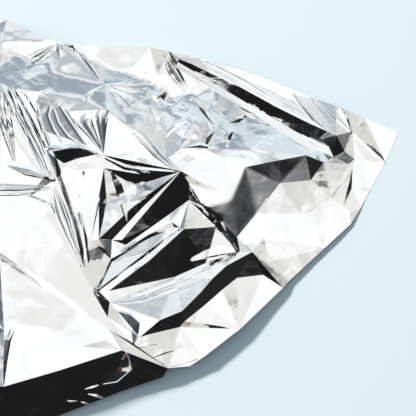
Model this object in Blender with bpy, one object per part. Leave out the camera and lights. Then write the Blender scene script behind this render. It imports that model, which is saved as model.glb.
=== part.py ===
"""Emergency foil blanket: a crumpled length of silver metallised film lying on a flat surface.

The sheet is one thin piece. It is worked out as a crease pattern. Junctions are the points where
creases meet, and each one has a place on a flat grid and a height. Creases are straight lines
from junction to junction. Flat facets fill the space between them, as they do in stiff film that
has been crushed and let go. The facets are then given their depth and closed all round into one
solid. Its right-hand corner and its left-hand border lie flat on the surface.
"""
import bmesh
import bpy
import numpy as np
from mathutils import Vector
from mathutils.geometry import delaunay_2d_cdt

# ---------------------------------------------------------------- sizes
GRID_ACROSS = 0.00130     # metres to the right for one grid step across
GRID_DOWN = 0.00138       # metres to the front for one grid step down
LEAN = 0.364              # metres to the front for each metre of height: raised film slumps forward
MILLIMETRE = 0.001
FILM_DEPTH = 0.0024       # metres, straight up from the underside to the silver face
MERGE = 0.0000005         # metres between grid points that count as one

# ---------------------------------------------------------------- junctions
# Each table is one region of the sheet. Columns: name, grid steps across, grid steps down, and
# height of the underside above the surface in millimetres.

# The free edge, clockwise from the far left corner: along the back to the right-hand corner
# (o14), forward along the right-hand edge, and round the front to the left.
FREE_EDGE = """
o0   -86   30   0
o1     5   18   1
o2     56   41   17
o3     72   44   21
o4    105   44   26
o5    150   46   26
o6    168   50   18
o7    200   57    5
o8    250   72    5
o9    295   89    4
o10   313   97    2
o11  336  105   4
o12  350  111   3
o13  366  118   0
o14  399  132   0
o15  386  162   0
o16  370  191   0
o17  361  208   1
o18   351  224    3
o19   325  248    4
o20   289  281    5
o21   283  288    7
o22   240  329   12
o23   205  356   13
o24   190  366   11
o25   168  368   16
o26  163  377  10
o27  122  391   8
o28   60  415   7
o29  -10  440   3
o30  -62  462   0
o31  -84  400   0
o32  -91  325   0
o33  -86  240   0
o34  -92  160   0
o35  -86   90   0
"""

# The border at the left that lies flat, seen from its inner side, and the flat of the corner.
RESTING = """
j0   -66   52   0
j1   -60  120   0
j2   -66  200   0
j3   -60  290   0
j4   -64  370   0
j5   -48  420   0
j6   376  140   0
"""

# The back left: a low lip at the free edge, a trough, and the long back ridge (b) behind it.
BACK_LEFT = """
a1      0   41   16
a2     15   52   13
a3     41   61   14
a4     55   67   24
a5     64   74   30
a6     18   74   30
a7      0   62   24
b0   -40   80  34
b1      0   84   43
b2     40   91   45
b3     87   98   50
b4   107  109  58
"""

# The steep slope behind the back ridge, with its foot (c) and one pushed-in star (s1).
BACK_SLOPE = """
c2     92   58   20
c3    105   67   16
c4    126   72   15
c5    150   80   17
c6    165   87   18
s1    104   84   34
s5    150  106   38
v1    157   76   18
"""

# The long straight fold behind the right-hand side: crest (d), foot (e) and a second low
# crest (f) in front of it.
LONG_FOLD = """
d1    178   56   13
d2    210   72    9
d3    240   86    9
d4    280  108 10.5
d5    310  123   13
d6    337  135   18
e1    178   61   10
e2    210   80  1.5
e3    250  104    2
e4    280  121    2
e5    310  140    3
e6    334  157    3
f1    175   66   13
f2   210   86   9
f3   245  107  10
f4   280  127  10
f6   318  146  13
r1    295   94    5
"""

# The crumpled hollow between the long fold and the main ridge.
HOLLOW = """
v2    186   92   16
v3    190   99   16
v4    163  109   34
v5    166  136   50
v6    170   97   18
v7    225  119   27
v8    244  114   14
v9    240  135   38
v10   216  127   42
v11   252  133   30
v12   272  126   18
v13   271  136   28
v14   283  133   20
v15   205  149   57
v16   182  148   57
v17   250  149   50
v18   285  153   43
v19   190  120   43
"""

# The main ridge from the back ridge to the star (d0), and on to the right.
MAIN_RIDGE = """
g2   120  119  58
g3   136  131  58
g4   151  147  60
g5   166  159  62
d0    181  171   65
h1   210  172  60
h2   245  167  56
h3   280  160  49
h4   306  155  39
"""

# The bowl in front of the main ridge.
BOWL = """
w1    237  237   24
w2    256  214 27.5
w3    280  183 34.5
w4    231  199   49
"""

# The right-hand side in front of the main ridge: small folds near the corner and a broad flap.
RIGHT_SIDE = """
h5   318  150  22
i4    324  162   18
n0    338  158   13
n1    345  151    9
n2    349  164    6
k1    353  131   11
k2   355  159   3
k3   352  188   3
k4   350  212   5
p1    353  168    5
p2    332  198 12.5
p3    344  206    7
x1    311  180   24
x2    300  214   18
x3    264  238 20.5
x4    270  262   17
y0    252  252 26.5
z0    240  251   30
"""

# The front flap: a crest (y) and the groove in front of it (u).
FRONT_FLAP = """
y1    226  266 34.5
y2    212  279 36.5
y3    200  293   37
y4    182  311   38
y5    160  320   40
y6   140  337  36
u1    263  275    7
u2    237  278 15.5
u3    222  290   22
u4    205  305   24
u5    185  321   28
u6    180  327   26
u7    150  334   34
"""

# The pleats that run down to the left from the star: each has a start, a middle and an end.
PLEATS = """
m0     99  239   41
ma1   138  202   51
m4    112  240 33.5
ma2   144  206   46
mb    122  240   34
ma3   149  208 45.5
m3    126  245   28
ma4   160  221   34
l1    189  200   43
m1    172  222 37.5
mc1   148  235 32.5
m2    111  259   28
mc2   174  227 34.5
mc3   148  239   30
md    112  262   26
me1   180  228   39
me2   148  251   34
mf    99  289  37
me3   149  254 31.5
m7    99  291  35
l3    184  229 45.5
m10   150  260   37
mg   109  291  33
l4    216  227   29
q1    189  183   58
q2    203  206   53
q3    219  220 40.5
q4   230  238  30
lv    213  219   37
m8   231  244  23
m9   236  252  20
m11   175  277   14
m12   206  263   14
m6    110  302   32
"""

# The middle left: the star (t1), the dish above it and the tall facets below it.
MIDDLE_LEFT = """
t1    104  155   63
t2    104  168   58
t3     54  151   57
t4     61  171   47
t5     57  178   50
t13    61  175 46.5
t14    73  220   49
t15    77  218   46
t6     80  250 46.5
t16    84  250 43.5
t7     99  206   46
t8    46  150  50
t9     12   90   47
t10    36  101   44
t11    68  111 54.5
t12    87  145   60
t17    42  130   44
t18    84  262   44
m5     91  241   40
c7    135  186   45
c8    107  203 39.5
c9    140  174   55
"""

# The broad left face, its long crease (n13 to n25) and the front edge it falls away to (n20).
LEFT_FACE = """
n3     0  165  62
n4     9  166  62
n5    45  176  57
n6    28  198  58
n7     0  197  61
n8    46  214  57
n24    65  245   52
n9     81  270   47
n10   94  293  44
n11   108  317   41
n12  132  342  37
n13     0  253   65
n14    40  280   59
n15    80  309   49
n25   110  330   43
n16    20  325   40
n17    60  334   38
n18    83  346   38
n19   105  340   41
n20    5  386  38
n21   60  370  39
n22  122  350  36
n23     5  330   40
n26  -40  385  24
n27  -44  160  36
n28  -42  262  40
"""

REGIONS = (FREE_EDGE, RESTING, BACK_LEFT, BACK_SLOPE, LONG_FOLD, HOLLOW, MAIN_RIDGE, BOWL,
           RIGHT_SIDE, FRONT_FLAP, PLEATS, MIDDLE_LEFT, LEFT_FACE)

# ---------------------------------------------------------------- creases
# One fold a row, as the junctions it passes through.
CREASES = """
j0 j1 j2 j3 j4 j5
j1 b0
j1 n27 n3
j2 n28 n13
j3 n28
j4 n26 n20
j5 n26
j0 b0 b1 b2 b3 b4 g2 g3 g4 g5 d0
j0 a1 o2
o5 v1 c6
o3 c2 c3 c4 c5 c6 v2
o4 c3
s1 c3
s1 b3
s1 b4
s1 c6
s1 g3
s1 o2
a1 a2 a3 a4 a5
a1 a7 a2
a2 a6 a5
a6 b1
a7 b1
o2 a3
o2 a4
a5 b3
g3 s5 c6
s5 v5
o6 d1 d2 d3 d4 d5 d6
o6 e1 e2 e3 e4 e5 e6
o6 f1 f2 f3 f4 f6
d6 e6
r1 d6
o9 r1
d6 k1
o11 k1
o12 k1
o13 k1
k1 k2 p1 k3 k4 o18
k1 o15
k3 o16
o13 j6 o15
o14 j6
v1 v2
v2 v3 v10
v3 v7 v8
v7 v9 v8
v8 v12 v14
v11 v12
v11 v13 v12
v9 v11
v3 v19 v10
v2 v6 v4
v4 v5
v5 v16 v15
v16 d0
d0 v15 v17 v18 h4
v9 v17
v10 v9
v10 v15
d0 h1 h2 h3 h4
d0 q1 q2 q3 q4 z0
z0 w1 w2 w3 h4
w4 w1
w4 d0
w4 w2
w4 q2
h2 w4
h4 h5 i4
h4 i4
h5 f6
i4 x1
h4 x1
e6 n0 i4
d6 n1 k2
n1 n2 p1
n0 n1
k2 n2
p1 p2 p3 k4
p1 p3
p2 x2 x3 y0
x2 w2
w1 x3 x4 o20
y0 x4
z0 y0 y1
y0 o21
y0 o20
z0 y1 y2 y3 y4 y5 y6
y0 u1 o21
y0 u2
u1 u2 u3 u4 u5 u6 u7 y6
u6 o22
u6 o23
d0 t1
d0 ma1 m0
d0 ma2 m4
d0 ma3 mb
d0 l1 ma4 m3
m0 m4 mb m3
l1 l3
l1 l4 l3
l1 m1
m1 mc1 m2
mc2 mc3 md
m1 me1
me1 me2 mf
l3 me3 m7
l3 m10 mg
l3 m11
m3 m2
m4 m2
mc2 me1
l1 lv q4
q1 l1
lv l4
l4 m8 z0
lv q3
m8 q4
m8 m9 z0
m9 m12 m11 m6
m5 m0
m2 m5
t1 t2 m5
t2 c8 c7
c7 d0
t1 c9 d0
c9 c7
t2 c7
t7 m5
t7 t2
t7 c8
t1 b4
t1 g2
t1 g4
t1 t11
t1 t4
t1 t12 t8
t3 t4
t3 t12
t3 t13
t8 t3
t8 t5
t9 t8
t9 n5
b1 t9
b2 t10
t10 t11 b3
t10 t17 t11
t17 t12
t10 t8
t17 t8
t4 t13
t5 t14 t6 n9 n10 n11 n12 o25
t13 t15 t16 t18 n9
t18 m5
t18 n10
t18 m2
m2 n10
md mf
m7 mg m6
mf n10
n13 n14 n15 n25 o25
n25 n12
b1 n5 t5
n3 n4 n5
n7 n6 n8 n24 n9
n6 n5
n8 t5
n14 n16 n17 n18 n19 n25
n17 n15
n16 n23 n20
n20 n21 n22 o25
n19 n22
n18 n21
y6 n12
m7 n10
m6 n11
n20 o28
n20 o29
"""


def read_junctions():
    """Return the junctions by name: (across, down, height), with height in metres."""
    junctions = {}
    for region in REGIONS:
        for row in region.strip().splitlines():
            name, across, down, height = row.split()
            junctions[name] = (float(across), float(down), float(height) * MILLIMETRE)
    return junctions


def lay_out(junctions, edge_names):
    """Fill the crease pattern with facets.

    The pattern is laid out flat, at grid scale, and cut into triangles that keep every crease
    and the free edge as triangle sides. Returns the triangles as rows of three places in the
    list of junction names.
    """
    names = list(junctions)
    place = {name: number for number, name in enumerate(names)}
    flat = [Vector((GRID_ACROSS * junctions[name][0], -GRID_DOWN * junctions[name][1])) for name in names]
    lines = []
    for row in CREASES.strip().splitlines():
        path = row.split()
        lines.extend((place[start], place[stop]) for start, stop in zip(path, path[1:]))
    edge = [place[name] for name in edge_names]
    lines.extend(zip(edge, edge[1:] + edge[:1]))
    points, _, facets, _, _, _ = delaunay_2d_cdt(flat, lines, [edge], 1, MERGE)
    if len(points) != len(names):
        raise ValueError("two creases cross away from a junction")
    return names, np.array(facets, dtype=int)


def stand_up(junctions, names):
    """Give every junction its place: x to the right, y to the back, z up, origin below the middle."""
    rows = np.array([junctions[name] for name in names])
    height = rows[:, 2]
    x = GRID_ACROSS * rows[:, 0]
    y = -GRID_DOWN * rows[:, 1] - LEAN * height
    x = x - 0.5 * (x.min() + x.max())
    y = y - 0.5 * (y.min() + y.max())
    return np.column_stack((x, y, height))


def close_sheet(underside, facets):
    """Return the mesh of the closed sheet.

    The underside is drawn straight up by the film's depth, which makes the silver face and the
    strip of upright faces between the two round the free edge.
    """
    mesh = bpy.data.meshes.new("foil_sheet")
    mesh.from_pydata(underside.tolist(), [], facets.tolist())
    shape = bmesh.new()
    shape.from_mesh(mesh)
    drawn = bmesh.ops.extrude_face_region(shape, geom=shape.faces[:], use_keep_orig=True)
    raised = [item for item in drawn["geom"] if isinstance(item, bmesh.types.BMVert)]
    bmesh.ops.translate(shape, verts=raised, vec=(0.0, 0.0, FILM_DEPTH))
    bmesh.ops.recalc_face_normals(shape, faces=shape.faces[:])
    shape.to_mesh(mesh)
    shape.free()
    return mesh


def silver_material():
    """Plain silver for the metallised film."""
    material = bpy.data.materials.new("silver_film")
    material.use_nodes = True
    shader = material.node_tree.nodes["Principled BSDF"]
    shader.inputs["Base Color"].default_value = (0.80, 0.81, 0.82, 1.0)
    shader.inputs["Metallic"].default_value = 1.0
    shader.inputs["Roughness"].default_value = 0.18
    return material


# ---------------------------------------------------------------- build
for old in list(bpy.data.objects):
    bpy.data.objects.remove(old, do_unlink=True)

collection = bpy.data.collections.new("foil_blanket")
bpy.context.scene.collection.children.link(collection)

junction_table = read_junctions()
edge_names = [row.split()[0] for row in FREE_EDGE.strip().splitlines()]
junction_names, facet_rows = lay_out(junction_table, edge_names)
sheet_mesh = close_sheet(stand_up(junction_table, junction_names), facet_rows)
sheet_mesh.materials.append(silver_material())
foil_sheet = bpy.data.objects.new("foil_sheet", sheet_mesh)
collection.objects.link(foil_sheet)
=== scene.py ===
# %% [markdown]
# # Emergency foil blanket
#
# A length of silver metallised film has been crushed, opened again and laid on a table. Film of
# this kind doesn't drape like cloth. It folds into flat facets that meet in sharp creases, and the
# creases run together in little stars. Nearly everything the eye sees on it is a reflection, so
# two things make the picture: the tilt of every facet, and what stands around it in the room.
#
# The frame is read first. It holds the plain construction model of the sheet, and its box is kept.

import math

import bpy
import numpy as np
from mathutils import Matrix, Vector
from mathutils.geometry import delaunay_2d_cdt


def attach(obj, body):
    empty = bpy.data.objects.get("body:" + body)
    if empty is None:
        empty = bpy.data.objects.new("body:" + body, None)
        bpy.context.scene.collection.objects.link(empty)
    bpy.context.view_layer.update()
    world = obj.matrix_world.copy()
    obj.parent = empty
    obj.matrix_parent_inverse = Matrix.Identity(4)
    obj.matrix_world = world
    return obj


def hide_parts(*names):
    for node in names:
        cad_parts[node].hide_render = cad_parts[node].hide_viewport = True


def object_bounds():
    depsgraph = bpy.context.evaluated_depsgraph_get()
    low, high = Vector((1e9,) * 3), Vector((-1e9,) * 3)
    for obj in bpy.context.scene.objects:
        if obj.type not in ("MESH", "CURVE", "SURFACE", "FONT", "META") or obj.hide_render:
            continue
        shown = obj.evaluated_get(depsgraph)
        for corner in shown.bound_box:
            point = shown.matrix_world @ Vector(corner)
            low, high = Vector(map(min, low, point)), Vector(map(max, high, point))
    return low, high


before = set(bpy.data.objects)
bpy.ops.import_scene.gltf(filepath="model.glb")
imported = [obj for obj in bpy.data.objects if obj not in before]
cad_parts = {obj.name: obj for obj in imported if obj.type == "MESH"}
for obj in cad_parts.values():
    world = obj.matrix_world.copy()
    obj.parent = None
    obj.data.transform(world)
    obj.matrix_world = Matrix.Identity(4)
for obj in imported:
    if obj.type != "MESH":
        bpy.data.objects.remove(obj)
cad_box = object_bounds()
print("construction box", cad_box)

# %% [markdown]
# ## The flat pattern
#
# The sheet's creases are drawn on a flat grid, as a pattern is drawn before it is folded. A grid
# point has a number across and a number down. Raising a point makes it slump a little to the
# front, so the flat place and the height together give the place in space. Points could be typed
# in metres instead, but a grid of whole steps is easier to draw on and to read. The grid is tied
# to the construction model by its own leftmost and frontmost points.

# %% Lay out the grid
MILLIMETRE = 0.001
GRID_ACROSS = 0.00130      # metres for one grid step across
GRID_DOWN = 0.00138        # metres for one grid step down
LEAN = 0.364               # metres to the front for each metre of height
LEFTMOST_STEP = -92        # the grid step across of the leftmost junction
FRONTMOST_STEP = 462       # the grid step down of the frontmost junction
CAD_NODE = "foil_sheet"


def corners_of(node):
    """Return the corners of a node's mesh, one row of (right, back, up) for each."""
    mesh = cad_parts[node].data
    corners = np.empty(len(mesh.vertices) * 3)
    mesh.vertices.foreach_get("co", corners)
    return corners.reshape(-1, 3)


left_front = corners_of(CAD_NODE).min(axis=0)
ACROSS_ZERO = left_front[0] - LEFTMOST_STEP * GRID_ACROSS
DOWN_ZERO = left_front[1] + FRONTMOST_STEP * GRID_DOWN


def flat_place(across, down):
    """Grid steps to flat metres: (right, back)."""
    return np.stack((ACROSS_ZERO + GRID_ACROSS * across, DOWN_ZERO - GRID_DOWN * down), axis=-1)


def in_space(flat, height):
    """Flat places and heights to places in space: each one slumps to the front as it rises."""
    return np.column_stack((flat[:, 0], flat[:, 1] - LEAN * height, height))


print("grid zero at", round(ACROSS_ZERO, 4), round(DOWN_ZERO, 4))

# %% [markdown]
# ## The main facets
#
# The construction model already holds the main facets, so the finished film starts from its
# underside. Its loose triangles are merged in a copy, and the faces that look down are kept. The
# thickness of the model is a stand-in for a film far too thin to build, so the finished sheet is a
# single skin.

# %% Take the underside of the construction model
LOOKS_DOWN = 1e-3          # a face counts as looking down when its normal drops by more than this
MERGE_DIGITS = 7           # corners that agree to this many decimals of a metre are one


def main_facets(node):
    """Return the flat places, heights and triangles of a node's underside."""
    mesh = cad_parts[node].data
    corners = corners_of(node)
    mesh.calc_loop_triangles()
    triangles = np.empty(len(mesh.loop_triangles) * 3, dtype=int)
    mesh.loop_triangles.foreach_get("vertices", triangles)
    triangles = triangles.reshape(-1, 3)
    places, merged = np.unique(np.round(corners, MERGE_DIGITS), axis=0, return_inverse=True)
    triangles = merged.reshape(-1)[triangles]
    sides = places[triangles]
    normals = np.cross(sides[:, 1] - sides[:, 0], sides[:, 2] - sides[:, 0])
    down = triangles[normals[:, 2] < -LOOKS_DOWN * np.linalg.norm(normals, axis=1)]
    used, down = np.unique(down, return_inverse=True)
    places = places[used]
    flat = np.column_stack((places[:, 0], places[:, 1] + LEAN * places[:, 2]))
    return flat, places[:, 2], down.reshape(-1, 3)


facet_flat, facet_height, facet_rows = main_facets(CAD_NODE)
print("main facets", len(facet_rows), "junctions", len(facet_flat))

# %% [markdown]
# ## Heights from a net of creases
#
# Every layer of folds is a net: junctions with heights, and flat facets between them. The film's
# height at a place is the sum of what each net says there, so the layers can be drawn one at a
# time. A ray cast on a Blender mesh would read such a height too. Mixing the heights of a facet's
# three corners gives the same answer for all the places of a facet at once, which is much faster.

# %% Read heights off a net
FACET_BOX_SLACK = 1e-7     # metres: a place this far outside a facet's box still counts
CORNER_SHARE_SLACK = 1e-4  # a place still counts when a corner's share of it is this far below 0


def net_lift(flat, net_flat, net_height, net_rows):
    """Height of a net of flat facets at each flat place, and 0 beyond the net.

    Inside a triangle the height is the mix of its three corners' heights, by how near the place
    is to each. The places are sorted from left to right, so that a facet looks at few of them.
    """
    order = np.argsort(flat[:, 0])
    sorted_flat = flat[order]
    sorted_height = np.zeros(len(flat))
    lows = net_flat[net_rows].min(axis=1) - FACET_BOX_SLACK
    highs = net_flat[net_rows].max(axis=1) + FACET_BOX_SLACK
    firsts = np.searchsorted(sorted_flat[:, 0], lows[:, 0])
    lasts = np.searchsorted(sorted_flat[:, 0], highs[:, 0])
    for corners, first, last, low, high in zip(net_rows, firsts, lasts, lows, highs):
        a, b, c = net_flat[corners]
        near = first + np.flatnonzero((sorted_flat[first:last, 1] >= low[1])
                                      & (sorted_flat[first:last, 1] <= high[1]))
        area = (b[0] - a[0]) * (c[1] - a[1]) - (b[1] - a[1]) * (c[0] - a[0])
        offset = sorted_flat[near] - a
        share_b = (offset[:, 0] * (c[1] - a[1]) - offset[:, 1] * (c[0] - a[0])) / area
        share_c = (offset[:, 1] * (b[0] - a[0]) - offset[:, 0] * (b[1] - a[1])) / area
        share_a = 1.0 - share_b - share_c
        inside = np.minimum(np.minimum(share_a, share_b), share_c) > -CORNER_SHARE_SLACK
        shares = np.column_stack((share_a, share_b, share_c))[inside]
        sorted_height[near[inside]] = shares @ net_height[corners]
    height = np.empty(len(flat))
    height[order] = sorted_height
    return height


check = net_lift(facet_flat.mean(axis=0)[None], facet_flat, facet_height, facet_rows)
print("height in the middle of the sheet", check.round(4))

# %% [markdown]
# ## Small folds, listed one by one
#
# Between the main creases the film carries many smaller ones. Each row here is one fold: a path
# of stations, and at each station how far the crest is lifted, or pressed down where the number
# is negative, and how wide the fold is on its left and on its right, looking along the path. A
# cloth simulation could crumple the sheet too, but its creases would fall where chance puts them,
# and each of these has its place.

# %% Read a table
def rows_of(table):
    """Read a table: the first word of a row is its name, and the rest are numbers.

    A line that starts with a space goes on with the row above it.
    """
    for row in table.strip().replace("\n ", " ").splitlines():
        name, *numbers = row.split()
        yield name, np.array([float(number) for number in numbers])


def folds_of(table):
    """The folds of a table, each with a row of five numbers for each of its stations."""
    return [numbers.reshape(-1, 5) for _, numbers in rows_of(table)]


print("an example", folds_of("fold 1 2 0.3 4 5  6 7 0.8 9 9"))

# %% Folds of the left wall and of the knot of streaks
# Columns of every table of folds, five for each station: across, down, lift in mm, width on the
# left and on the right in mm.
LEFT_WALL = """
blackline  84 266  0.3   2   2   79 248  0.7   2   4   72 222  0.9   3   5   65 200  0.9   4   5
           57 178  1.0   6   4   45 149  1.4   9 3.5   30 120  1.6  10 3.5   13  90  1.2   8   3
whiteline  50 146  0.4   2   1   40 122  1.3   4   2   29 102  1.3   4   2   22  92  0.6   3 1.5
rim_left   50 143  0.6   3   2   43 130  1.6   3   3   38 115  1.6   3   3   37 103  0.8   3   2
rim_low    46 148  0.8   2   3   54 148  3.2   5  12   64 148  4.6   6  21   80 148  3.2   5  14
           98 152  0.5   2   3
contour1   62 142  0.3   2   2   54 130  0.6   4   2   48 115  0.6   4   2   50 106  0.3   2   2
contour2   84 142  0.3   2   2   76 130  0.7   4   2   66 115  0.7   4   2   60 106  0.3   2   2
contour3   80 144  0.3   2   2   68 136  0.5   3   2   58 122  0.5   3   2   54 110  0.3   2   2
corner     16 118  0.5   2   2    9 103  3.0   4 4.5    3  92  3.5   6   5   -4  84  1.0   4   3
"""

STREAK_KNOT = """
shadefacet  28 196  0.6   2   3   38 200  2.8   3   8   50 205  3.2   3  12   54 212  1.0   2   4
knot_up     44 176  1.4   3   3   54 180  1.6   3   3
star_low    10 166  0.3   1   1   26 174  2.0   6   2   43 178  0.4   1   1
"""
folds = folds_of(LEFT_WALL) + folds_of(STREAK_KNOT)
print("folds on the left", len(folds))

# %% Folds of the middle, the hollow and the long strip
CENTRE_LEFT = """
lens    88 262  0.4   2   2   85 240  1.2   3 3.5   80 214  0.9   3   3
collar 106 158  1.0   2   2  125 167  1.6   4   4  145 170  1.4   4   4  176 172  0.6   2   2
patch  192 260  0.8   3   2  206 257  3.0   9   2  222 254  4.2  13 2.5  236 251  1.5   5   2
quad   134 343  0.4   1   1  139 332  6.5  10   2  140 323  9.0  17 2.5  131 315  6.0  13 2.5
       120 312  0.8   3   2
shade  127 222  0.5   1   2  122 205  4.5   2   8  116 186  4.0   2   8  111 172  0.8   1   2
"""

HOLLOW = """
wedge   191  97  0.6   2   2  204 110  4.5   4 3.5  216 125  1.5   3   3
shade1  229 123  0.6   2   2  237 119  5.0   4   5  245 115  1.0   2   3
sliver1 236 104  0.4   2   2  246 109  2.2   2   2  255 113  0.4   2   2
sliver2 264 121  0.4   2   2  270 124  2.2   2   2  275 127  0.4   2   2
lens    186 148  0.5   2   2  200 145  3.5   5 3.5  217 148  0.5   2   2
line1   140 132  0.6   3   2  160 153  2.0   4 2.5  179 171  0.5   2 1.5
line2   133 134  0.5   3   2  156 156  1.6   4 2.5  176 171  0.4   2 1.5
line3   176  66  0.5   3   2  200  78  1.5   5   3  236 102  0.4   3   2
ray_a   104  84  0.4   1   1   90  65  2.2   3   4   74  47  0.8   3   4
ray_b   104  84  0.4   1   1  124  83  2.0   3   4  146  81  0.5   3   4
ray_c   104  84  0.4   1   1  124  88  2.0   3   4  146  89  0.5   3   4
ray_d   104  84  0.4   1   1  122  92  1.8   3   4  141  99  0.5   3   4
ray_e   104  84  0.4   1   1  116  96  1.8   3   4  131 109  0.5   3   4
ray_f   104  84  0.4   1   1   92  92  1.8   3   4   84  99  0.5   3   4
ridge_a 166 136  0.5   3   3  176 124  2.4   6   6  190 116  0.5   3   3
ridge_b 150 106  0.5   3   3  160 118  2.0   5   5  168 134  0.5   3   3
ridge_c 205 149  0.5   3   3  206 138  2.4   6   6  214 128  0.5   3   3
ridge_d 228 146  0.5   3   3  228 136  2.2   6   5  232 128  0.5   3   3
ridge_e 180 149  0.5   3   3  186 140  2.2   5   6  192 122  0.5   3   3
blob1   150  92  1.0   5   5  157  97  2.6   7   6  164 104  1.0   5   5
brow    176  98  0.6   3   6  191  98  3.2   8  20  208 108  3.2   8  20  224 122  0.8   4   8
"""

STRIP = """
strip_line  205  61  0.3   3   2  245  81  0.9   3   3  282 103  0.3   3   2
strip_pleat 293  94  0.4   3   2  314 118  1.4   4   3  336 134  0.4   2   2
strip_fold  313  97  0.4   3   2  340 121  1.6   4   3  352 132  0.4   2   2
ember       104 384  0.3   1   1  117 381  0.9  14 1.5  131 369  1.2  16 1.5  127 354  0.4   5   2
glint_a      86 389  0.3   1   1   93 387  0.7   2   1   99 385  0.3   1   1
glint_b      89 394  0.3   1   1   97 396  1.2   3   1  104 398  0.3   1   1
glint_c      82 402  0.3   1   1   85 402.5  0.8 1.5   1   89 404  0.3   1   1
tuck          5 384  0.4 0.5 0.5    7 360  2.2 3.5   2   10 340  3.0   6 2.5   12 328  0.6   5   5
slate_a     153 357  0.3   1   1  163 353  3.2   6   2  174 350  0.4   1   1
slate_b     140 347  0.3   1   1  148 345  2.4   5   2  156 344  0.3   1   1
edge_line   171 366  0.2   1   1  184 363  0.9 2.5   1  197 359  0.2   1   1
tab_sliver  352 131  0.3   1   1  347 119  1.3   5   3  342 108  1.8   7   4
tab_crease  355 139  0.5   2   3  370 153  1.7  10  10  386 163  0.6   5   6
tab_low     354 186  0.4   2   2  362 189  1.4   5   7  370 192  0.5   3   3
"""
folds += folds_of(CENTRE_LEFT) + folds_of(HOLLOW) + folds_of(STRIP)
print("folds", len(folds), "longest has", max(len(stations) for stations in folds), "stations")

# %% [markdown]
# ## Bands of pleats and small dents
#
# In some places many narrow folds lie side by side, where the film was drawn together. Drawing
# each of them would take a long table, so a band has a path of its own, and a rule that fills it
# with uneven pleats. Real pleats lean over: one flank is wide and gentle, and the other narrow and
# steep. The dents are round, and get their own short table.

# %% Bands and dents
# Columns: name, pleats, tilt in degrees and lean of the left flanks, then four for each station:
# across, down, width on the left and on the right in mm.
PLEATED = """
wall           4   38 0.62    52 180   2   2   40 150   6   5   24 118   9   7    6  86  10   8
wall_white     3   14 0.50    44 178   1   2   28 150   8   4   12 120  14   5    0  96  14   6
far_left       5   30 0.55    14 160   2   2    8 130   9   7    0  90  11   9
ribs           5   32 0.50   103.5 153 0.5 0.5   96 132  13  14   89 112  27  28
star_knot      3   34 0.55     8 166   1   1   26 171   5   5   45 177   1   1
knot_band      4   30 0.55   -20 190  10   8   20 190   8   8   50 187   2   2
lower_wall     5   36 0.60    84 268   1   1   72 240   6   5   62 212  10   8   53 186   3   3
low_lines      4   13 0.50   -30 236   5   5    0 256   5   5   22 270   4   4   42 287 0.5 0.5
fold_lines     5   14 0.50   165  52   1   1  210  69   9   2  280 104  11   2  337 131   8   2
flap_lines     5   15 0.50   112 303   2   2  140 299   7   7  200 277   9   9  236 255   1   1
crinkle_top    5   30 0.50   163  52   3   3  172  70   9   9  186  90   5   5
crinkle_low    3   34 0.50   163 103   4   4  174 104   8   8  187 108   4   4
fan            4   42 0.36    22  62   6   7   38  53   6   7   54 43.5   1   1
"""

# Columns: name, across, down, half length and half breadth in mm, turn in degrees, lift in mm.
DISHES = """
dent_a      82 173   4 5 0 -0.9
dent_b      79 196   7 3 10 -0.5
"""
print("bands", [name for name, _ in rows_of(PLEATED)])

# %% Turn a path into crease lines that lie side by side
def sideways(path):
    """Unit vectors to the right of a path at each of its stations, halving the bends."""
    steps = np.diff(path, axis=0)
    steps /= np.linalg.norm(steps, axis=1)[:, None]
    heading = np.vstack((steps[:1], steps[:-1] + steps[1:], steps[-1:]))
    heading /= np.linalg.norm(heading, axis=1)[:, None]
    return np.column_stack((heading[:, 1], -heading[:, 0]))


def strip_net(lines, heights):
    """A net of facets over crease lines that lie side by side: its places, heights and facets.

    Lines and heights have a row for each crease line and a column for each station. Two
    triangles fill each cell between two lines and two stations.
    """
    rows, columns = heights.shape
    first = (np.arange(rows - 1)[:, None] * columns + np.arange(columns - 1)).ravel()
    near = np.column_stack((first, first + 1, first + columns + 1))
    far = np.column_stack((first, first + columns + 1, first + columns))
    return lines.reshape(-1, 2), heights.ravel(), np.vstack((near, far))


# %% One fold: a crest and two feet
def fold_net(stations):
    """One fold: its crest, and a foot on each side, closed to a point past both ends.

    The feet are the crest's path moved sideways by the widths. The end points lie a mean width
    beyond the first and last stations, with no lift and no width.
    """
    path = flat_place(stations[:, 0], stations[:, 1])
    right = sideways(path)
    widths = stations[:, 3:5] * MILLIMETRE
    ahead = np.column_stack((-right[:, 1], right[:, 0]))
    reach = widths.mean(axis=1)[:, None] * ahead
    path = np.vstack((path[:1] - reach[:1], path, path[-1:] + reach[-1:]))
    right = np.vstack((right[:1], right, right[-1:]))
    widths = np.vstack(((0.0, 0.0), widths, (0.0, 0.0)))
    crest = np.concatenate(((0.0,), stations[:, 2] * MILLIMETRE, (0.0,)))
    lines = np.stack((path - right * widths[:, :1], path, path + right * widths[:, 1:]))
    return strip_net(lines, np.stack((0.0 * crest, crest, 0.0 * crest)))


small_nets = [fold_net(stations) for stations in folds]
print("highest small fold", max(net[1].max() for net in small_nets), "m")

# %% One band: uneven pleats between its two sides
FLANK_SPREAD = (0.5, 1.5)  # the narrowest and the widest flank, against their mean
PEAK_SPREAD = (0.6, 1.2)   # the lowest and the highest peak, against the one the tilt gives
VALLEY_SPREAD = (0.0, 0.35)    # how high a valley stays, as a share of the peak before it


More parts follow.
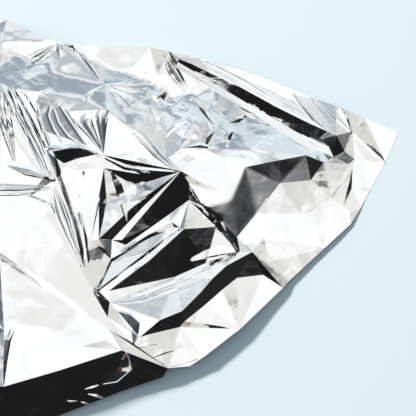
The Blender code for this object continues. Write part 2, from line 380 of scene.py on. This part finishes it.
def uneven_pleats(count, tilt, lean, seed):
    """Crease places from 0 to 1 across a band, and their heights as a share of its width.

    Valleys and peaks take turns. Lean is the share of a pleat that its left flank takes, and
    tilt is that flank's tilt, so a high lean makes the right flanks narrow and steep.
    """
    chance = np.random.default_rng(seed)
    gaps = chance.uniform(*FLANK_SPREAD, 2 * count)
    gaps[0::2] *= lean
    gaps[1::2] *= 1.0 - lean
    places = np.concatenate(((0.0,), np.cumsum(gaps) / gaps.sum()))
    heights = np.zeros(2 * count + 1)
    peaks = math.tan(math.radians(tilt)) * np.diff(places)[0::2]
    heights[1::2] = peaks * chance.uniform(*PEAK_SPREAD, count)
    heights[2:-1:2] = heights[1:-2:2] * chance.uniform(*VALLEY_SPREAD, count - 1)
    return places, heights


example_places, example_heights = uneven_pleats(3, 30.0, 0.6, 0)
print("three pleats", example_places.round(2), example_heights.round(2))

# %% Carry the pleats along their band
BAND_STATIONS = 9          # stations that a band is measured out to
FADE = 0.3                 # share of a band's length over which its pleats die away
POINTED = 4.0              # mm: a band that starts narrower than this starts at full strength


def band_net(count, tilt, lean, stations, seed):
    """A band of narrow pleats: each crease keeps its share of the band's width all along it."""
    lengths = np.linalg.norm(np.diff(flat_place(stations[:, 0], stations[:, 1]), axis=0), axis=1)
    travelled = np.concatenate(((0.0,), np.cumsum(lengths))) / lengths.sum()
    share = np.linspace(0.0, 1.0, BAND_STATIONS)
    stations = np.column_stack([np.interp(share, travelled, column) for column in stations.T])
    path = flat_place(stations[:, 0], stations[:, 1])
    right = sideways(path)
    whole = stations[:, 2] + stations[:, 3]
    fade = np.ones(BAND_STATIONS)
    if whole[0] > POINTED:
        fade *= np.clip(share / FADE, 0.0, 1.0)
    if whole[-1] > POINTED:
        fade *= np.clip((1.0 - share) / FADE, 0.0, 1.0)
    places, heights = uneven_pleats(count, tilt, lean, seed)
    aside = (places[:, None] * whole - stations[:, 2]) * MILLIMETRE
    lines = path + right * aside[:, :, None]
    return strip_net(lines, heights[:, None] * whole * MILLIMETRE * fade)


for seed, (_, numbers) in enumerate(rows_of(PLEATED)):
    pleats, tilt, lean = numbers[:3]
    small_nets.append(band_net(int(pleats), tilt, lean, numbers[3:].reshape(-1, 4), seed))
print("folds and bands together", len(small_nets))

# %% One dent: a round swelling, up or down
def dish_lift(flat, row):
    """Lift of a round swelling: (1 - r * r) squared, where r is 1 on the swelling's oval rim."""
    across, down, half_length, half_breadth, turn, lift = row
    offset = flat - flat_place(across, down)
    cosine, sine = math.cos(math.radians(turn)), math.sin(math.radians(turn))
    along = (offset[:, 0] * cosine - offset[:, 1] * sine) / (half_length * MILLIMETRE)
    beside = (offset[:, 0] * sine + offset[:, 1] * cosine) / (half_breadth * MILLIMETRE)
    return lift * MILLIMETRE * np.clip(1.0 - along ** 2 - beside ** 2, 0.0, None) ** 2


dishes = [numbers for _, numbers in rows_of(DISHES)]
print("dents", len(dishes))

# %% [markdown]
# ## How crumpled the film is, from place to place
#
# The film was crushed hardest in the hollow at the back, and hardly at all on the long smooth
# face in front. One number for each place says so. It makes the swells, the finer creases and the
# crinkle of the material stronger or weaker together, as one hand crushed them all.

# %% Strength of the crumple
CALM = 0.35                # strength away from the crumpled places

# Columns: name, across, down, radius in mm, how much is added to CALM in its middle.
CRUMPLED = """
hollow       195 116   68   2.0
hollow_right 262 138   38   1.8
hollow_left  135  95   60   1.2
top_left      30  65   70   1.2
bowl         240 200   60  -0.2
dark_facet   130 175   45   1.2
far_wall       6 125   36  -0.3
"""


def distance_share(flat, across, down, radius):
    """How far each flat place is from a grid point, as a share of a radius in mm."""
    return np.linalg.norm(flat - flat_place(across, down), axis=1) / (radius * MILLIMETRE)


def strength(flat):
    """CALM, and in each crumpled place its number times (1 - r * r) squared on top."""
    amount = np.full(len(flat), CALM)
    for _, (across, down, radius, more) in rows_of(CRUMPLED):
        distance = distance_share(flat, across, down, radius)
        amount += more * np.clip(1.0 - distance ** 2, 0.0, None) ** 2
    return np.clip(amount, 0.0, None)


print("strength at the junctions", strength(facet_flat).min(), strength(facet_flat).max())

# %% [markdown]
# ## Soft swells
#
# No facet of a real film is flat. Each one swells a little, which bends the reflections in it.
# The swells come from smooth noise at three sizes, worked out on random lattices.

# %% Smooth noise, and the sum of the swells
# Columns: name, cell in mm, height in mm.
SWELLS = """
wide    46  0.50
middle  19  0.24
small    8  0.06
"""

LATTICE_CELLS = 200        # cells along each side of a lattice
LATTICE_START = 60.0       # the cell at the frame's origin, so that no place falls off the lattice
SWELL_SEED = 40            # the first size's seed; the others follow


def soft_noise(flat, cell, seed):
    """Smooth noise from -1 to 1: random lattice heights, mixed with a smooth step between them."""
    lattice = np.random.default_rng(seed).uniform(-1.0, 1.0, (LATTICE_CELLS, LATTICE_CELLS))
    place = flat / cell + LATTICE_START
    corner = np.floor(place).astype(int)
    share = place - corner
    share = share * share * share * (share * (share * 6.0 - 15.0) + 10.0)
    i, j = corner[:, 0], corner[:, 1]
    front = lattice[i, j] + share[:, 0] * (lattice[i + 1, j] - lattice[i, j])
    back = lattice[i, j + 1] + share[:, 0] * (lattice[i + 1, j + 1] - lattice[i, j + 1])
    return front + share[:, 1] * (back - front)


def swell_lift(flat):
    """Sum of the swells, as strong as the film is crumpled there."""
    lift = np.zeros(len(flat))
    for seed, (_, (cell, height)) in enumerate(rows_of(SWELLS)):
        lift += height * MILLIMETRE * soft_noise(flat, cell * MILLIMETRE, SWELL_SEED + seed)
    return lift * strength(flat)


print("swells at the junctions reach", np.abs(swell_lift(facet_flat)).max().round(5), "m")

# %% [markdown]
# ## Rounded main creases
#
# Most creases are sharp, but in a few places the film bends softly and its reflection fades from
# light to dark. There the height is the mean of the heights around each place. A Smooth modifier
# would do this to the whole mesh and would need a finer one. The mean is taken in opposite pairs,
# so a flat facet keeps its height however wide the rounding is.

# %% Where the creases are round
# Columns: name, across, down, radius in mm, how far its creases are rounded in mm.
ROUNDED = """
top_left      25  62   60    5
top_middle    85  78   55    6
hollow_left  135  95   55    7
hollow       185 112   50    5
hollow_right 245 128   40    3
bowl         228 198   55    4
left_face     50 300   75    6
streaks      130 188   30    3
"""

ROUND_ONSET = 0.5          # share of the radius over which the rounding sets in from outside


def round_reach(flat):
    """How far the main creases are rounded at each place, in metres."""
    reach = np.zeros(len(flat))
    for _, (across, down, radius, most) in rows_of(ROUNDED):
        distance = distance_share(flat, across, down, radius)
        share = np.clip((1.0 - distance) / ROUND_ONSET, 0.0, 1.0)
        reach = np.maximum(reach, most * MILLIMETRE * share * share * (3.0 - 2.0 * share))
    return reach


print("junctions in rounded places", np.count_nonzero(round_reach(facet_flat)))

# %% Height of the main facets with their rounded creases
ROUND_RINGS = (0.55, 1.0)  # shares of the reach at which heights are compared
ROUND_TURNS = 6            # directions for each ring
ROUND_LEAST = 0.0003       # metres: a shorter reach leaves the crease sharp


def main_lift(flat):
    """Mean height of the main facets over two rings of pairs around each place.

    A pair that reaches over the free edge counts as the place itself.
    """
    height = net_lift(flat, facet_flat, facet_height, facet_rows)
    reach = round_reach(flat)
    soft = np.flatnonzero(reach > ROUND_LEAST)
    total = height[soft].copy()
    for turn in range(ROUND_TURNS):
        angle = math.pi * turn / ROUND_TURNS
        for ring in ROUND_RINGS:
            shift = ring * reach[soft][:, None] * np.array([math.cos(angle), math.sin(angle)])
            ahead = net_lift(flat[soft] + shift, facet_flat, facet_height, facet_rows)
            astern = net_lift(flat[soft] - shift, facet_flat, facet_height, facet_rows)
            both = (ahead > 0.0) & (astern > 0.0)
            total += np.where(both, 0.5 * (ahead + astern), height[soft])
    height[soft] = total / (1 + ROUND_TURNS * len(ROUND_RINGS))
    return height


change = np.abs(main_lift(facet_flat) - facet_height).max()
print("rounding lowers a junction by up to", change.round(5), "m")

# %% [markdown]
# ## Points for the film's mesh
#
# A crease has to be an edge of the mesh, or its reflection turns into a saw. A plain grid of
# points would cut across every slanting crease. So points are set along every crease and fold,
# the space between them is filled with a regular honeycomb, and one Delaunay triangulation joins
# them all and keeps the creases as edges.

# %% Edges of a net
def edges_of(rows):
    """The edges of a net's facets, each once, and how many facets share each of them."""
    sides = np.vstack((rows[:, (0, 1)], rows[:, (1, 2)], rows[:, (2, 0)]))
    return np.unique(np.sort(sides, axis=1), axis=0, return_counts=True)


main_edges, sharing = edges_of(facet_rows)
outline = main_edges[sharing == 1]
print("main creases", np.count_nonzero(sharing == 2), "edges on the outline", len(outline))

# %% Points along a line, and points in between
ROW_SHARE = math.sqrt(0.75)    # rows lie this share of a gap apart, so neighbours are a gap apart


def beaded(begin, end, gap):
    """Points a gap apart from one flat place to another, both ends included."""
    pieces = max(1, int(round(np.linalg.norm(end - begin) / gap)))
    return begin + np.linspace(0.0, 1.0, pieces + 1)[:, None] * (end - begin)


def honeycomb(low, high, gap):
    """Points in rows, each row shifted by half a gap from the last."""
    columns = np.arange(low[0], high[0], gap)
    lines = np.arange(low[1], high[1], gap * ROW_SHARE)
    x, y = np.meshgrid(columns, lines)
    x[1::2] += gap / 2
    return np.column_stack((x.ravel(), y.ravel()))


print("honeycomb points 10 mm apart", len(honeycomb(*np.array(cad_box)[:, :2], 0.010)))

# %% Leave out the points that come too near a crease
def clear_of(points, taken, cell):
    """The points that no taken point comes near, worked out on a grid of small cells."""
    low = np.minimum(points.min(axis=0), taken.min(axis=0)) - 2 * cell
    size = ((np.maximum(points.max(axis=0), taken.max(axis=0)) - low) / cell).astype(int) + 3
    full = np.zeros(size, dtype=bool)
    spots = ((taken - low) / cell).astype(int)
    for right in (-1, 0, 1):
        for back in (-1, 0, 1):
            full[spots[:, 0] + right, spots[:, 1] + back] = True
    places = ((points - low) / cell).astype(int)
    return points[~full[places[:, 0], places[:, 1]]]


NEVER_LEVEL = 1e-15        # metres: keeps a level edge of the outline from dividing by zero


def inside_outline(points):
    """Which points lie on the sheet: a ray to the right crosses its outline an odd number of times."""
    odd = np.zeros(len(points), dtype=bool)
    for a, b in facet_flat[outline]:
        spans = (a[1] > points[:, 1]) != (b[1] > points[:, 1])
        reach = a[0] + (points[:, 1] - a[1]) * (b[0] - a[0]) / (b[1] - a[1] + NEVER_LEVEL)
        odd ^= spans & (points[:, 0] < reach)
    return odd


print("the mean junction is on the sheet:", inside_outline(facet_flat.mean(axis=0)[None]))

# %% Join the points into triangles
SAME_POINT = 2e-6          # metres: points nearer than this become one


def joined(runs, fill):
    """Delaunay triangles over runs of points, which stay edges, and loose points."""
    starts = np.cumsum([0] + [len(run) for run in runs])
    lines = np.vstack([np.column_stack((np.arange(a, b - 1), np.arange(a + 1, b)))
                       for a, b in zip(starts[:-1], starts[1:])])
    points = np.vstack((*runs, fill))
    flat, _, facets, _, _, _ = delaunay_2d_cdt(points.tolist(), lines.tolist(), [], 0, SAME_POINT)
    flat = np.array(flat)
    facets = np.array(facets)
    facets = facets[inside_outline(flat[facets].mean(axis=1))]
    used, facets = np.unique(facets, return_inverse=True)
    return flat[used], facets.reshape(-1, 3)


print("points within", SAME_POINT, "m of each other become one")

# %% [markdown]
# ## The finer crumple
#
# Where the film was crushed hardest it breaks into a finer net of facets. It is made like the
# main one: junctions with small heights of their own, joined by creases. The main creases are
# kept as edges of it, so no fine facet lies across one of them.

# %% The finer net
CRUMPLE_GAP = 0.013        # metres between the junctions of the finer net
CRUMPLE_HEIGHT = 0.0008    # metres: how far they may stand up or down at full strength
CRUMPLE_SEED = 11
CRUMPLE_STRAY = 0.4        # share of a gap by which its junctions leave the honeycomb
CRUMPLE_CLEAR = 0.35       # share of a gap that its junctions keep from the main creases


def crumple_net():
    """The finer net: its flat places, their lifts, and its facets."""
    chance = np.random.default_rng(CRUMPLE_SEED)
    runs = [beaded(facet_flat[a], facet_flat[b], CRUMPLE_GAP) for a, b in main_edges]
    fill = honeycomb(facet_flat.min(axis=0), facet_flat.max(axis=0), CRUMPLE_GAP)
    fill = fill + chance.uniform(-CRUMPLE_STRAY, CRUMPLE_STRAY, fill.shape) * CRUMPLE_GAP
    fill = clear_of(fill, np.vstack(runs), CRUMPLE_GAP * CRUMPLE_CLEAR)
    flat, facets = joined(runs, fill)
    lift = chance.uniform(-1.0, 1.0, len(flat)) * CRUMPLE_HEIGHT * strength(flat)
    return flat, lift, facets


crumple_flat, crumple_height, crumple_rows = crumple_net()
print("finer net", len(crumple_rows), "facets, lifts to", np.abs(crumple_height).max().round(4))

# %% [markdown]
# ## The film
#
# Now the layers come together. The flat mesh is made first, then every layer adds its height, and
# the flat places and heights give the places in space.

# %% The flat mesh
STEP = 0.0018              # metres between neighbouring points of the mesh
NEAREST_FILL = 0.5         # honeycomb points keep this share of a step away from creases


def film_mesh():
    """The film as one open surface of small triangles, with every crease as a run of edges."""
    runs = [beaded(crumple_flat[a], crumple_flat[b], STEP) for a, b in edges_of(crumple_rows)[0]]
    for flat, _, rows in small_nets:
        runs.extend(beaded(flat[a], flat[b], STEP) for a, b in edges_of(rows)[0])
    fill = honeycomb(facet_flat.min(axis=0), facet_flat.max(axis=0), STEP)
    fill = clear_of(fill, np.vstack(runs), STEP * NEAREST_FILL)
    return joined(runs, fill)


film_flat, film_facets = film_mesh()
print("film points", len(film_flat), "facets", len(film_facets))

# %% The heights
FILM_LOWEST = 0.0002       # metres: nothing goes lower than this

film_height = main_lift(film_flat) + swell_lift(film_flat)
film_height += net_lift(film_flat, crumple_flat, crumple_height, crumple_rows)
for net in small_nets:
    film_height += net_lift(film_flat, *net)
for dish in dishes:
    film_height += dish_lift(film_flat, dish)
film_height = np.maximum(film_height, FILM_LOWEST)
print("film heights", film_height.min(), film_height.max().round(4))

# %% [markdown]
# ## From arrays to a Blender object
#
# The arrays go into a mesh with from_pydata. Faces are shaded smooth, so that the swells bend
# the reflections without showing triangles, and edges sharper than a few degrees are marked
# sharp, so that creases stay crisp. The mesh also gets the flat pattern as its UV map, and the
# strength of the crumple as an attribute, and the material reads both.

# %% The sheet as an object
CREASE_ANGLE = math.radians(9.0)
PATTERN_SPAN = 0.66        # metres: the side of the square that the UV map lays the pattern in

mesh = bpy.data.meshes.new("silver_sheet")
mesh.from_pydata(in_space(film_flat, film_height).tolist(), [], film_facets.tolist())
mesh.shade_smooth()
mesh.set_sharp_from_angle(angle=CREASE_ANGLE)
silver_sheet = bpy.data.objects.new("silver_sheet", mesh)
bpy.context.scene.collection.objects.link(silver_sheet)
print("triangles", len(mesh.polygons), "in one skin")

# %% The flat pattern and the crumple as data on the mesh
pattern = mesh.uv_layers.new(name="flat_pattern")
pattern_places = (film_flat - film_flat.min(axis=0)) / PATTERN_SPAN
pattern.data.foreach_set("uv", pattern_places[film_facets.ravel()].ravel())
crumple = mesh.attributes.new("crumple", "FLOAT", "POINT")
crumple.data.foreach_set("value", strength(film_flat))
print("pattern fills", pattern_places.max(axis=0).round(3), "of the unit square")

# %% [markdown]
# ## Nodes by the yard
#
# Materials and the room are both made of nodes. A small class keeps a node's output, and Python's
# own operators on it add Math nodes, so that a formula reads as a formula. One method adds any
# other node.

# %% A bench that nodes are put together on
class Wire:
    """An output of a node that can stand in a sum: every operator adds its own Math node."""

    def __init__(self, bench, socket):
        self.bench = bench
        self.socket = socket

    def math(self, operation, *values):
        return self.bench.add("ShaderNodeMath", {"operation": operation}, dict(enumerate(values)))

    def __add__(self, other):
        return self.math("ADD", self, other)

    def __radd__(self, other):
        return self.math("ADD", other, self)

    def __sub__(self, other):
        return self.math("SUBTRACT", self, other)

    def __rsub__(self, other):
        return self.math("SUBTRACT", other, self)

    def __mul__(self, other):
        return self.math("MULTIPLY", self, other)

    def __rmul__(self, other):
        return self.math("MULTIPLY", other, self)

    def __truediv__(self, other):
        return self.math("DIVIDE", self, other)

    def __rtruediv__(self, other):
        return self.math("DIVIDE", other, self)


class Bench:
    """The node tree of a material or a world, cleared and ready."""

    def __init__(self, owner):
        owner.use_nodes = True
        self.tree = owner.node_tree
        self.tree.nodes.clear()

    def add(self, kind, settings=None, sockets=None, out=0):
        """Add a node, with its settings first and then its sockets, and return one output."""
        node = self.tree.nodes.new(kind)
        for name, value in (settings or {}).items():
            setattr(node, name, value)
        for name, value in (sockets or {}).items():
            if isinstance(value, Wire):
                self.tree.links.new(value.socket, node.inputs[name])
            else:
                node.inputs[name].default_value = value
        return Wire(self, node.outputs[out]) if len(node.outputs) else None


# %% Two steps that every shader here uses
MIX_FACTOR, MIX_A, MIX_B, MIX_COLOUR = 0, 6, 7, 2


def rising(value, low, high):
    """0 up to the low value, 1 from the high one, and a smooth rise between."""
    return value.bench.add("ShaderNodeMapRange", {"interpolation_type": "SMOOTHSTEP"},
                           {"Value": value, "From Min": low, "From Max": high}, out="Result")


def blend(below, above, share):
    """A mix of two colours: below where the share is 0, above where it is 1."""
    return share.bench.add("ShaderNodeMix", {"data_type": "RGBA"},
                           {MIX_FACTOR: share, MIX_A: below, MIX_B: above}, out=MIX_COLOUR)


print("bench ready")

# %% [markdown]
# ## The silver film
#
# The film is plastic with a breath of aluminium on it, so it is a metal to the light: nearly white,
# and almost a mirror. A plain mirror looks like drawn steel, though. Handled film has fine
# crinkles up to a centimetre long, and a greyer haze in the patches where it has been rubbed.
# The crinkles are a bump, because as mesh they would take millions of faces. They
# come from the edges of Voronoi cells, which meet in stars as creases do, and from a finer noise.

# %% Sizes and tones of the film
FILM_COLOUR = (0.915, 0.92, 0.925, 1.0)
RUBBED_COLOUR = (0.85, 0.86, 0.875, 1.0)
FILM_ROUGHNESS = 0.045
RUBBED_ROUGHNESS = 0.075   # added where the film has been rubbed most
CRINKLE_CELLS = 58.0       # Voronoi cells across the pattern's square, about 11 mm each
GRAIN_CELLS = 160.0        # noise cells across it, about 4 mm each
RUB_CELLS = 9.0            # patches of haze across it
RUB_RANGE = (0.42, 0.72)   # noise at which the haze begins, and at which it is full
CRINKLE_DEPTH = 0.25       # mm that a crinkle's middle stands over its edges at strength 1
GRAIN_DEPTH = 0.05         # mm that the grain stands up or down at strength 1
print("crinkles", round(PATTERN_SPAN / CRINKLE_CELLS / MILLIMETRE), "mm across")

# %% The film's material
film = bpy.data.materials.new("silver_film")
bench = Bench(film)
laid_out = bench.add("ShaderNodeUVMap", {"uv_map": "flat_pattern"}, out="UV")
crushed = bench.add("ShaderNodeAttribute", {"attribute_name": "crumple"}, out="Fac")
rub = bench.add("ShaderNodeTexNoise", sockets={
    "Vector": laid_out, "Scale": RUB_CELLS, "Detail": 5.0, "Roughness": 0.62, "Distortion": 0.6})
rubbed = rising(rub, *RUB_RANGE)
crinkle = bench.add("ShaderNodeTexVoronoi", {"feature": "DISTANCE_TO_EDGE"}, {
    "Vector": laid_out, "Scale": CRINKLE_CELLS}, out="Distance")
grain = bench.add("ShaderNodeTexNoise", sockets={
    "Vector": laid_out, "Scale": GRAIN_CELLS, "Detail": 2.0, "Roughness": 0.5})
relief = (crinkle * CRINKLE_DEPTH + grain * GRAIN_DEPTH) * crushed * MILLIMETRE
crinkled = bench.add("ShaderNodeBump", sockets={"Strength": 1.0, "Distance": 1.0, "Height": relief})
skin = bench.add("ShaderNodeBsdfPrincipled", sockets={
    "Base Color": blend(FILM_COLOUR, RUBBED_COLOUR, rubbed),
    "Metallic": 1.0,
    "Roughness": FILM_ROUGHNESS + rubbed * RUBBED_ROUGHNESS,
    "Normal": crinkled})
bench.add("ShaderNodeOutputMaterial", sockets={"Surface": skin})
mesh.materials.append(film)
print("nodes in the film's material", len(bench.tree.nodes))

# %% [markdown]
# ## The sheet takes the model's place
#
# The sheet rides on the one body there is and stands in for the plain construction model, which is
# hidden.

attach(silver_sheet, "root")
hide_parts(CAD_NODE)

# %% [markdown]
# ## The table and the light
#
# The sheet lies on a plain table of pale paint. It is wide, because a facet that leans far over
# mirrors the table well beyond the sheet.
# A disc lamp high at the back left throws the soft shadow in front of the right edge. The lamp
# isn't seen in reflections, because its mirror image would be a hard white spot on one facet only.

# %% The table
TABLE_REACH = 4.0          # metres from the middle to each side
TABLE_COLOUR = (0.785, 0.86, 0.86, 1.0)

floor_mesh = bpy.data.meshes.new("table_top")
corners = TABLE_REACH * np.array([(-1, -1, 0), (1, -1, 0), (1, 1, 0), (-1, 1, 0)])
floor_mesh.from_pydata(corners.tolist(), [], [(0, 1, 2, 3)])
table_top = bpy.data.objects.new("table_top", floor_mesh)
bpy.context.scene.collection.objects.link(table_top)
paint = bpy.data.materials.new("pale_paint")
bench = Bench(paint)
matt = bench.add("ShaderNodeBsdfPrincipled", sockets={
    "Base Color": TABLE_COLOUR, "Roughness": 0.9, "Specular IOR Level": 0.0})
bench.add("ShaderNodeOutputMaterial", sockets={"Surface": matt})
floor_mesh.materials.append(paint)
print("table", 2 * TABLE_REACH, "m wide")

# %% The lamp
LAMP_PLACE = (-9.15, 7.65, 6.5)
LAMP_WIDTH = 1.65          # metres
LAMP_POWER = 2680.0        # watts

lamp_data = bpy.data.lights.new("key", "AREA")
lamp_data.shape = "DISK"
lamp_data.size = LAMP_WIDTH
lamp_data.energy = LAMP_POWER
lamp = bpy.data.objects.new("key", lamp_data)
lamp.visible_glossy = False
lamp.visible_camera = False
lamp.location = LAMP_PLACE
lamp.rotation_mode = "QUATERNION"
lamp.rotation_quaternion = Vector(LAMP_PLACE).to_track_quat("Z", "Y")
bpy.context.scene.collection.objects.link(lamp)
print("lamp", round(Vector(LAMP_PLACE).length, 2), "m away")

# %% [markdown]
# ## The room in the film
#
# A mirror is only as good as what it mirrors. The room could be built of walls and cards, but a
# world shader is simpler: it gives each direction its colour, and every facet picks up the colour
# of the direction that it reflects. Five sides are described from the floor up: a pale back wall,
# its warmer end on the far right, a dark screen in front with a warm rim, the same screen where it
# turns grey on the right, and a slate curtain on the left. A white ceiling closes the room. The
# sides run into each other softly.

# %% Colours of the room
# Columns: name, then red, green and blue light.
ROOM_COLOURS = """
white        1.10   1.11   1.11
light_beige  0.94   0.935  0.915
beige        0.78   0.775  0.735
light_grey   0.60   0.63   0.65
mid_grey     0.36   0.39   0.42
pewter       0.25   0.255  0.26
dark_grey    0.105  0.108  0.114
near_black   0.020  0.020  0.021
black        0.012  0.012  0.013
orange       0.30   0.13   0.08
low          0.74   0.83   0.87
blue         0.36   0.43   0.49
pale         0.90   0.94   0.97
cloud        0.56   0.60   0.63
slate        0.15   0.17   0.20
dark_slate   0.045  0.052  0.06
"""
tints = {name: (*colour, 1.0) for name, colour in rows_of(ROOM_COLOURS)}
print("tints", len(tints))

# %% The sides of the room from the floor up
# Columns: colour, and the two angles in degrees between which it takes over from the last one.
# Angles are measured from the table, but in front from the upper rim of the dark screen.
BEHIND = """
low          -90  -89
blue           4   13
pale          15   23
cloud         25   32
white         36   46
"""

FAR_RIGHT = """
low          -90  -89
light_grey     4   14
beige         16   28
white         30   50
"""

FRONT = """
black        -90  -89
near_black   -14   -2.5
orange        -2.2 -1.6
beige         -1.5 -0.4
light_beige    4   20
"""

FRONT_RIGHT = """
near_black   -90  -89
dark_grey    -17   -9
pewter        -9   -3
beige         -3    3
light_beige    4   20
"""

LEFT = """
dark_slate   -90  -89
slate         12   34
mid_grey      44   51
white         54   64
"""


def side(table, rise):
    """One side of the room: each colour takes over from the one below it."""
    rows = list(rows_of(table))
    colour = tints[rows[0][0]]
    for name, (start, full) in rows[1:]:
        colour = blend(colour, tints[name], rising(rise, start, full))
    return colour


print("colours up the back wall", [name for name, _ in rows_of(BEHIND)])

# %% The directions of the room
NEVER_UPRIGHT = 1e-5       # keeps a direction straight up from dividing by zero

world = bpy.data.worlds.new("room")
bpy.context.scene.world = world
bench = Bench(world)
towards = bench.add("ShaderNodeTexCoord", out="Generated")
x, y, z = (bench.add("ShaderNodeSeparateXYZ", sockets={"Vector": towards}, out=axis)
           for axis in "XYZ")
rise = z.math("ARCSINE", z) * math.degrees(1.0)
level = z.math("SQRT", x * x + y * y) + NEVER_UPRIGHT
print("nodes for the directions", len(bench.tree.nodes))

# %% Where the sides begin
# Columns: name, how much right and how much back the side lies, and the two shares, from -1 away
# from that side to 1 straight at it, between which it takes over from its neighbour.
TURNS = """
far_right    0.95  -0.312  -0.08  0.12
front        0.5   -0.866  -0.55 -0.42
front_right  1.0    0.0     0.60  0.74
left        -0.996  0.087   0.72  0.88
"""

# Columns: part of the screen's rim, the same four numbers, and how many degrees it adds there.
RIM = """
turned_away  0.5   -0.866  -0.48 -0.30  28
facing       0.5   -0.866   0.0   0.2   21
left_end    -1.0    0.0     0.15  0.5   11
middle       0.0   -1.0     0.5   0.9    6
"""


def takes_over(right, back, start, full):
    """0 where a direction lies away from a side, 1 where it lies towards it, and a rise between."""
    return rising((x * right + y * back) / level, start, full)


turned = {name: takes_over(*numbers) for name, numbers in rows_of(TURNS)}
screen_rim = sum(takes_over(*numbers) * degrees for _, (*numbers, degrees) in rows_of(RIM))
highest_rim = sum(numbers[-1] for _, numbers in rows_of(RIM))
print("the dark screen's rim stands up to", highest_rim, "degrees over the table")

# %% Put the sides together
TABLE_GLOW = (0.28, 0.345, 0.39, 1.0)      # what the matt table gathers from the room
BACKDROP = (0.72, 0.85, 0.90, 1.0)         # what shows behind the object in a low view
CEILING_EDGE = (58.0, 68.0)                # degrees over the table
CEILING_WHITE = (-0.34, -0.10)             # how far back the ceiling turns from beige to white

back = blend(side(BEHIND, rise), side(FAR_RIGHT, rise), turned["far_right"])
over_rim = rise - screen_rim
front = blend(side(FRONT, over_rim), side(FRONT_RIGHT, over_rim), turned["front_right"])
room = blend(back, front, turned["front"])
room = blend(room, side(LEFT, rise), turned["left"])
ceiling = blend(tints["light_beige"], tints["white"], rising(y, *CEILING_WHITE))
room = blend(room, ceiling, rising(rise, *CEILING_EDGE))
scattered = bench.add("ShaderNodeLightPath", out="Is Diffuse Ray")
straight = bench.add("ShaderNodeLightPath", out="Is Camera Ray")
room = blend(blend(room, TABLE_GLOW, scattered), BACKDROP, straight)
shine = bench.add("ShaderNodeBackground", sockets={"Color": room})
bench.add("ShaderNodeOutputWorld", sockets={"Surface": shine})
bpy.context.scene.view_settings.view_transform = "Standard"
print("nodes in the room", len(bench.tree.nodes))

# %% [markdown]
# ## The camera
#
# The sheet is seen from high in front. The camera stands far away with a long lens, so that lines
# hardly run together, and the flat pattern's grid lies square in the picture. Near the sheet the
# outline would spread towards the picture's edges.

# %% Camera
VIEW_STEP = (208.0, 208.0)                 # grid steps across and down of the picture's middle
VIEW_HEIGHT = 0.030                        # metres over the table
VIEW_RISE = math.radians(70.0)
VIEW_AWAY = 16.0                           # metres
VIEW_STEPS = 416                           # grid steps from side to side of the picture
VIEW_SPAN = VIEW_STEPS * GRID_ACROSS       # metres across the picture
VIEW_END = 100.0                           # metres: nothing beyond this is drawn
SENSOR = 36.0                              # millimetres

target = flat_place(*VIEW_STEP)
centre = Vector((target[0], target[1] - LEAN * VIEW_HEIGHT, VIEW_HEIGHT))
away = Vector((0.0, -math.cos(VIEW_RISE), math.sin(VIEW_RISE)))
camera_data = bpy.data.cameras.new("camera")
camera_data.sensor_width = SENSOR
camera_data.lens = SENSOR * VIEW_AWAY / VIEW_SPAN
camera_data.clip_end = VIEW_END
camera = bpy.data.objects.new("camera", camera_data)
camera.location = centre + VIEW_AWAY * away
camera.rotation_mode = "QUATERNION"
camera.rotation_quaternion = away.to_track_quat("Z", "Y")
bpy.context.scene.collection.objects.link(camera)
bpy.context.scene.camera = camera
print("lens", round(camera_data.lens), "mm")
